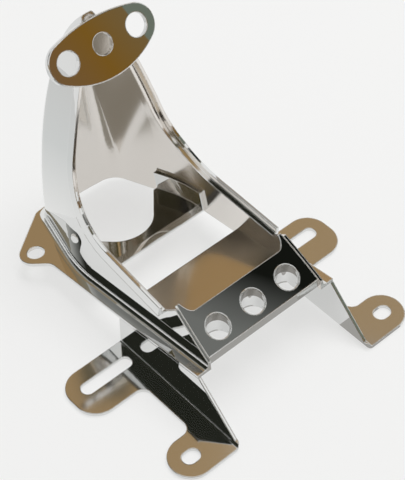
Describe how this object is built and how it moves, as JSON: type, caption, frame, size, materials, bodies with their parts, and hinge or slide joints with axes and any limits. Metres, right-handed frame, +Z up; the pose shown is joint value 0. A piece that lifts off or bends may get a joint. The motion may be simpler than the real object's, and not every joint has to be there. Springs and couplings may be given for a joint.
{
  "type": "tail light bracket",
  "caption": "Chrome motorbike tail light bracket: a tall open sheet hood with a drilled lamp plate, a drilled wedge at the front and slotted feet for a number plate.",
  "frame": {"origin": "midway between the long slots of the two feet, on the underside of the feet", "axes": "+X to the right along the slots, +Y rearward under the hood, +Z up from the underside of the feet"},
  "size_m": [0.195, 0.2021, 0.1629],
  "materials": {
    "chrome": "polished chrome plate on pressed steel"
  },
  "bodies": {
    "root": {"hood_shell": "chrome", "lamp_plate": "chrome", "cross_plate": "chrome", "wedge_plate": "chrome", "foot_left": "chrome", "foot_right": "chrome"}
  },
  "joints": []
}
